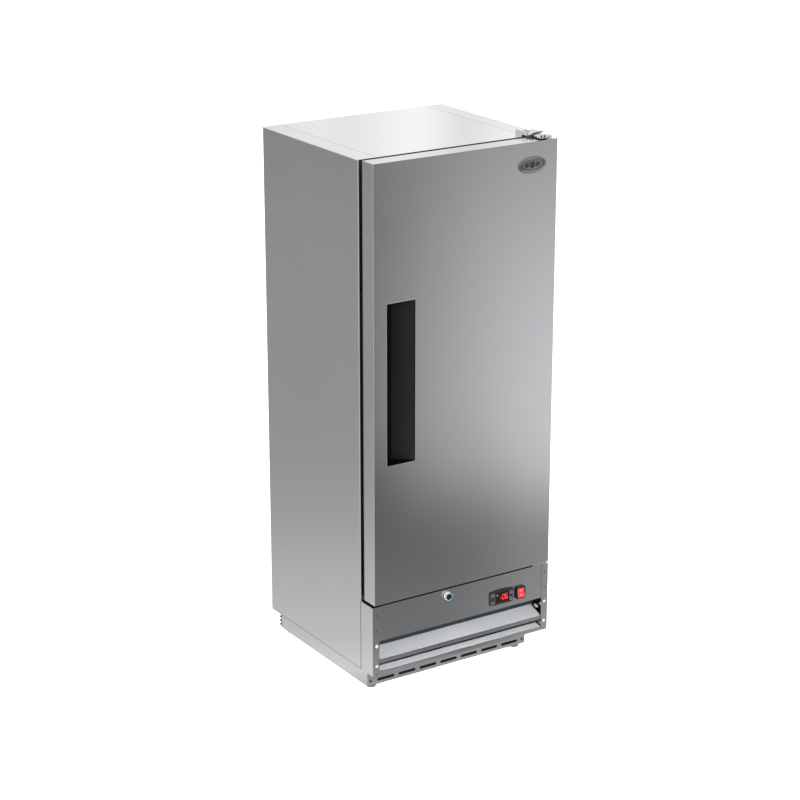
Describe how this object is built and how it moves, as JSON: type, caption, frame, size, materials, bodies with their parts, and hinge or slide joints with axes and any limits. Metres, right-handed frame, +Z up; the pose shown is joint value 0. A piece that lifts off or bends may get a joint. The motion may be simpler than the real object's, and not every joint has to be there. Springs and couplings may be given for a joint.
{
  "type": "reach-in refrigerator",
  "caption": "Upright steel commercial refrigerator with a right-hinged solid door, black recessed pull, louvred lower front with lock, thermostat and rocker switch, and a low plinth.",
  "frame": {"origin": "centre of the bounding box's floor, under the levelling feet", "axes": "+Z up, +X to the right seen from the front, +Y to the back; the door faces -Y"},
  "size_m": [0.63, 0.6014, 1.621],
  "materials": {
    "side_steel": "satin stainless sheet, grain front to back",
    "roof_steel": "satin stainless sheet",
    "door_steel": "satin stainless sheet, grain up and down",
    "front_steel": "satin stainless sheet, grain side to side",
    "louvre_steel": "bright satin stainless sheet",
    "liner_steel": "bright satin stainless sheet",
    "galvanised_steel": "dull zinc-coated sheet",
    "bracket_steel": "plated steel",
    "screw_steel": "bright plated",
    "wire_steel": "bright plated wire",
    "grille_black": "satin black",
    "compressor_black": "gloss black",
    "fan_metal": "pressed aluminium",
    "coil_metal": "aluminium fins on copper tube",
    "copper": "drawn copper tube",
    "motor_black": "satin black",
    "foot_steel": "zinc plated",
    "pull_plastic": "fine matt moulding",
    "bezel_plastic": "satin black moulding",
    "button_plastic": "satin dark grey moulding",
    "window_plastic": "tinted window",
    "rocker_plastic": "translucent red moulding",
    "lock_chrome": "polished chrome",
    "plug_metal": "dark blue-green gloss cap",
    "badge_metal": "domed dark chrome effect",
    "gasket_rubber": "soft black",
    "bush_plastic": "natural nylon",
    "foam": "rigid foam",
    "pan_plastic": "moulded tray"
  },
  "bodies": {
    "cabinet": {"left_side_panel": "side_steel", "right_side_panel": "side_steel", "top_panel": "roof_steel", "back_panel": "galvanised_steel", "front_frame": "side_steel", "inner_liner": "liner_steel", "foam_insulation": "foam", "base_tray": "galvanised_steel", "rear_cover": "galvanised_steel", "base_frame": "side_steel", "kick_plate": "front_steel", "base_rear_grille": "grille_black", "grille_frame": "front_steel", "control_panel": "front_steel", "upper_louvre": "louvre_steel", "lower_louvre": "louvre_steel", "panel_fasteners": "screw_steel", "controller_housing": "bezel_plastic", "display_window": "window_plastic", "switch_housing": "bezel_plastic", "lock_barrel": "lock_chrome", "compressor": "compressor_black", "condenser_coil": "coil_metal", "fan_shroud": "motor_black", "condenser_motor": "motor_black", "filter_drier": "copper", "refrigerant_tubes": "copper", "drain_pan": "pan_plastic", "cord_gland": "gasket_rubber", "evaporator_coil": "coil_metal", "evaporator_motor": "motor_black", "evaporator_cover": "liner_steel", "shelf_pilasters": "liner_steel", "shelf_clips": "wire_steel", "top_hinge_bracket": "bracket_steel", "bottom_hinge_bracket": "bracket_steel", "hinge_screws": "screw_steel"},
    "door": {"door_skin": "door_steel", "door_liner": "liner_steel", "door_foam": "foam", "door_gasket": "gasket_rubber", "handle_recess": "pull_plastic", "badge": "badge_metal", "door_bushings": "bush_plastic", "lock_strike": "bracket_steel"},
    "lock": {"lock_plug": "plug_metal"},
    "rocker": {"switch_rocker": "rocker_plastic"},
    "key_upper_left": {"button_upper_left": "button_plastic"},
    "key_lower_left": {"button_lower_left": "button_plastic"},
    "key_upper_right": {"button_upper_right": "button_plastic"},
    "key_lower_right": {"button_lower_right": "button_plastic"},
    "condenser_blades": {"condenser_fan": "fan_metal"},
    "evaporator_blades": {"evaporator_fan": "fan_metal"},
    "foot_fl": {"foot_front_left": "foot_steel"},
    "foot_fr": {"foot_front_right": "foot_steel"},
    "foot_rl": {"foot_rear_left": "foot_steel"},
    "foot_rr": {"foot_rear_right": "foot_steel"},
    "shelf_low": {"lower_shelf": "wire_steel"},
    "shelf_mid": {"middle_shelf": "wire_steel"},
    "shelf_high": {"upper_shelf": "wire_steel"}
  },
  "joints": [
    {"name": "door_hinge", "type": "hinge", "parent": "cabinet", "child": "door", "pos_m": [0.29, -0.26775, 0.95], "axis": [0, 0, 1], "range_deg": [0, 120]},
    {"name": "lock_turn", "type": "hinge", "parent": "cabinet", "child": "lock", "pos_m": [-0.054, -0.28955, 0.2765], "axis": [0, 1, 0], "range_deg": [0, 90]},
    {"name": "switch_rock", "type": "hinge", "parent": "cabinet", "child": "rocker", "pos_m": [0.211, -0.29155, 0.2254], "axis": [1, 0, 0], "range_deg": [0, 14]},
    {"name": "press_upper_left", "type": "slide", "parent": "cabinet", "child": "key_upper_left", "axis": [0, 1, 0], "range_m": [0, 0.001], "stiffness_N_per_m": 300},
    {"name": "press_lower_left", "type": "slide", "parent": "cabinet", "child": "key_lower_left", "axis": [0, 1, 0], "range_m": [0, 0.001], "stiffness_N_per_m": 300},
    {"name": "press_upper_right", "type": "slide", "parent": "cabinet", "child": "key_upper_right", "axis": [0, 1, 0], "range_m": [0, 0.001], "stiffness_N_per_m": 300},
    {"name": "press_lower_right", "type": "slide", "parent": "cabinet", "child": "key_lower_right", "axis": [0, 1, 0], "range_m": [0, 0.001], "stiffness_N_per_m": 300},
    {"name": "condenser_fan_spin", "type": "hinge", "parent": "cabinet", "child": "condenser_blades", "pos_m": [-0.07, -0.14875, 0.188], "axis": [0, 1, 0], "continuous": true},
    {"name": "evaporator_fan_spin", "type": "hinge", "parent": "cabinet", "child": "evaporator_blades", "pos_m": [0, 0.04225, 1.497], "axis": [0, 1, 0], "continuous": true},
    {"name": "level_fl", "type": "slide", "parent": "cabinet", "child": "foot_fl", "axis": [0, 0, -1], "range_m": [0, 0.01]},
    {"name": "level_fr", "type": "slide", "parent": "cabinet", "child": "foot_fr", "axis": [0, 0, -1], "range_m": [0, 0.01]},
    {"name": "level_rl", "type": "slide", "parent": "cabinet", "child": "foot_rl", "axis": [0, 0, -1], "range_m": [0, 0.01]},
    {"name": "level_rr", "type": "slide", "parent": "cabinet", "child": "foot_rr", "axis": [0, 0, -1], "range_m": [0, 0.01]},
    {"name": "lift_low", "type": "slide", "parent": "cabinet", "child": "shelf_low", "axis": [0, 0, 1], "range_m": [0, 0.012]},
    {"name": "lift_mid", "type": "slide", "parent": "cabinet", "child": "shelf_mid", "axis": [0, 0, 1], "range_m": [0, 0.012]},
    {"name": "lift_high", "type": "slide", "parent": "cabinet", "child": "shelf_high", "axis": [0, 0, 1], "range_m": [0, 0.012]}
  ]
}
